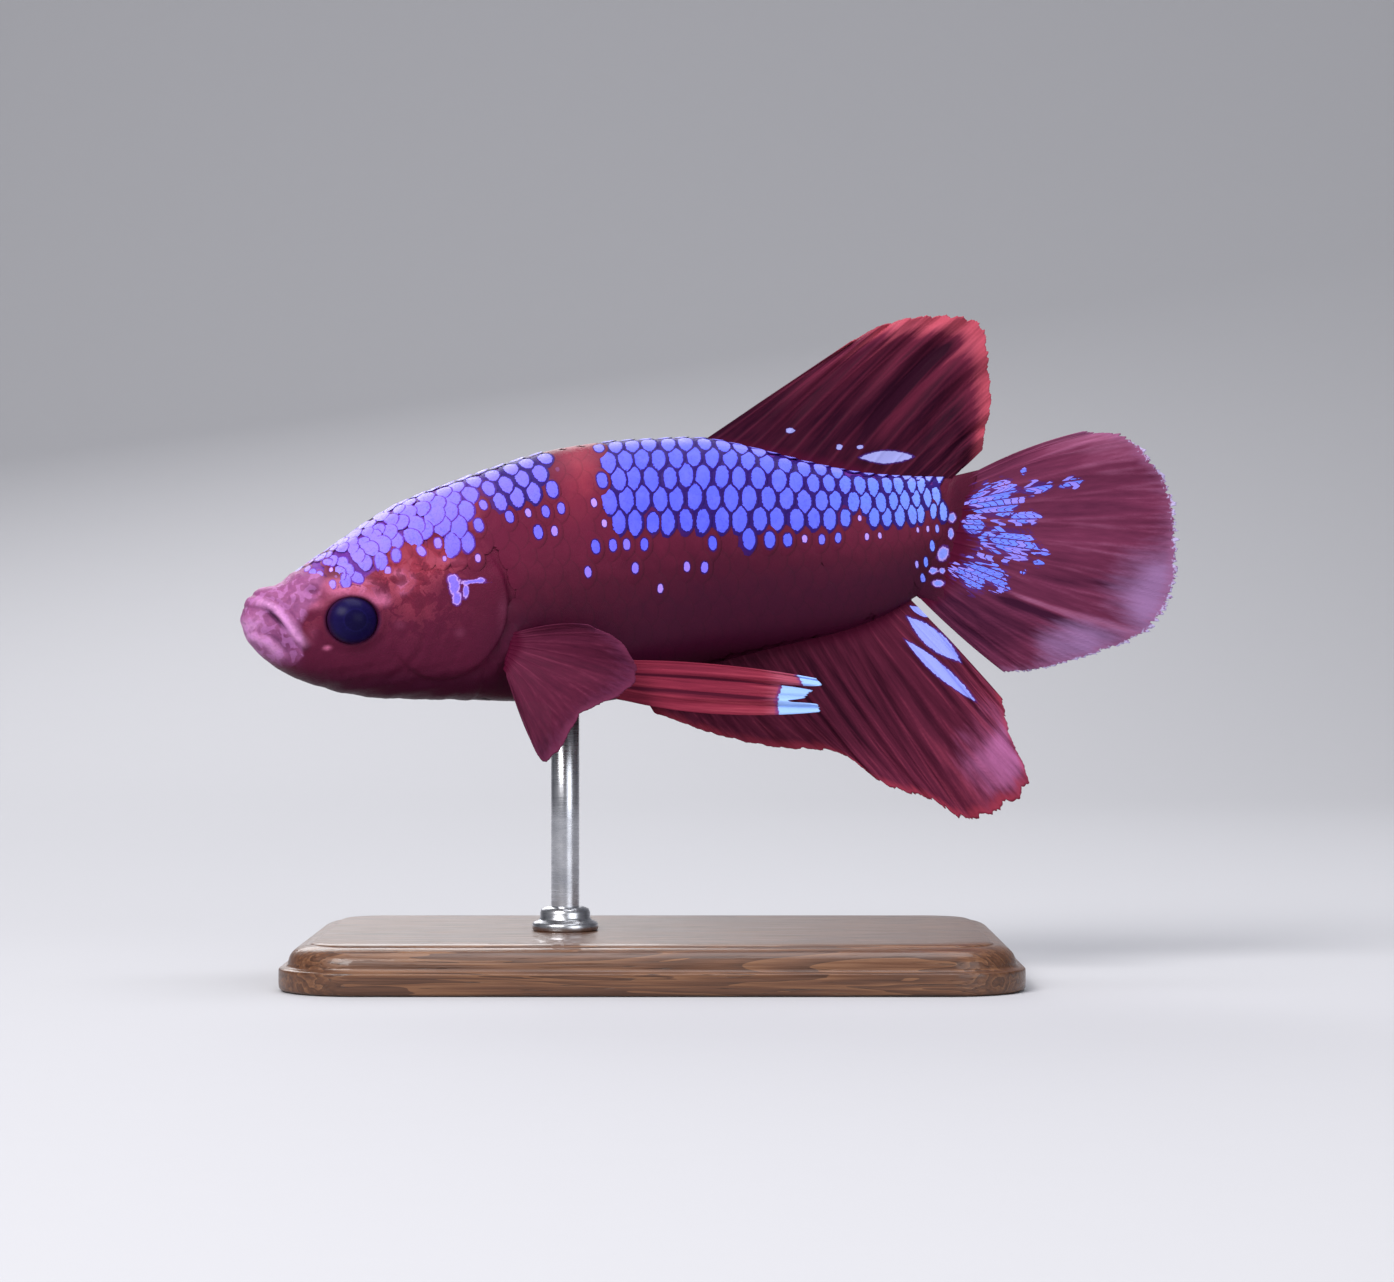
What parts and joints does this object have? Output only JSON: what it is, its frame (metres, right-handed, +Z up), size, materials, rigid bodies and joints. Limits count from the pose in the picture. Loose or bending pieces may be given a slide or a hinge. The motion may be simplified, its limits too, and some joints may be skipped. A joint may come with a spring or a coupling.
{
  "type": "betta fish museum model on a display stand",
  "caption": "Life-size short-finned betta fish swimming nose down with its fins spread, held over a flat base by a rod.",
  "frame": {"origin": "centre of the model's box in plan, on the underside of the base", "axes": "+Z up, the fish's head towards -X, its tail fin towards +X and its left side towards -Y"},
  "size_m": [0.0594, 0.03, 0.0424],
  "materials": {
    "flesh": "satin, maroon with overlapping scales, blue on the back",
    "muzzle": "satin, pinkish lilac skin",
    "fin": "satin, dark maroon web over raised rays",
    "eye": "polished, blue black",
    "stand_wood": "oiled walnut",
    "stand_steel": "brushed"
  },
  "bodies": {
    "root": {"head": "flesh", "lower_jaw": "muzzle", "gill_cover_left": "flesh", "gill_cover_right": "flesh", "trunk": "flesh", "tail_stalk": "flesh", "eye_left": "eye", "eye_right": "eye", "dorsal_fin": "fin", "anal_fin": "fin", "tail_fin": "fin", "pelvic_fin_left": "fin", "pelvic_fin_right": "fin", "pectoral_fin_left": "fin", "pectoral_fin_right": "fin", "stand_base": "stand_wood", "stand_collar": "stand_steel", "stand_rod": "stand_steel"}
  },
  "joints": []
}
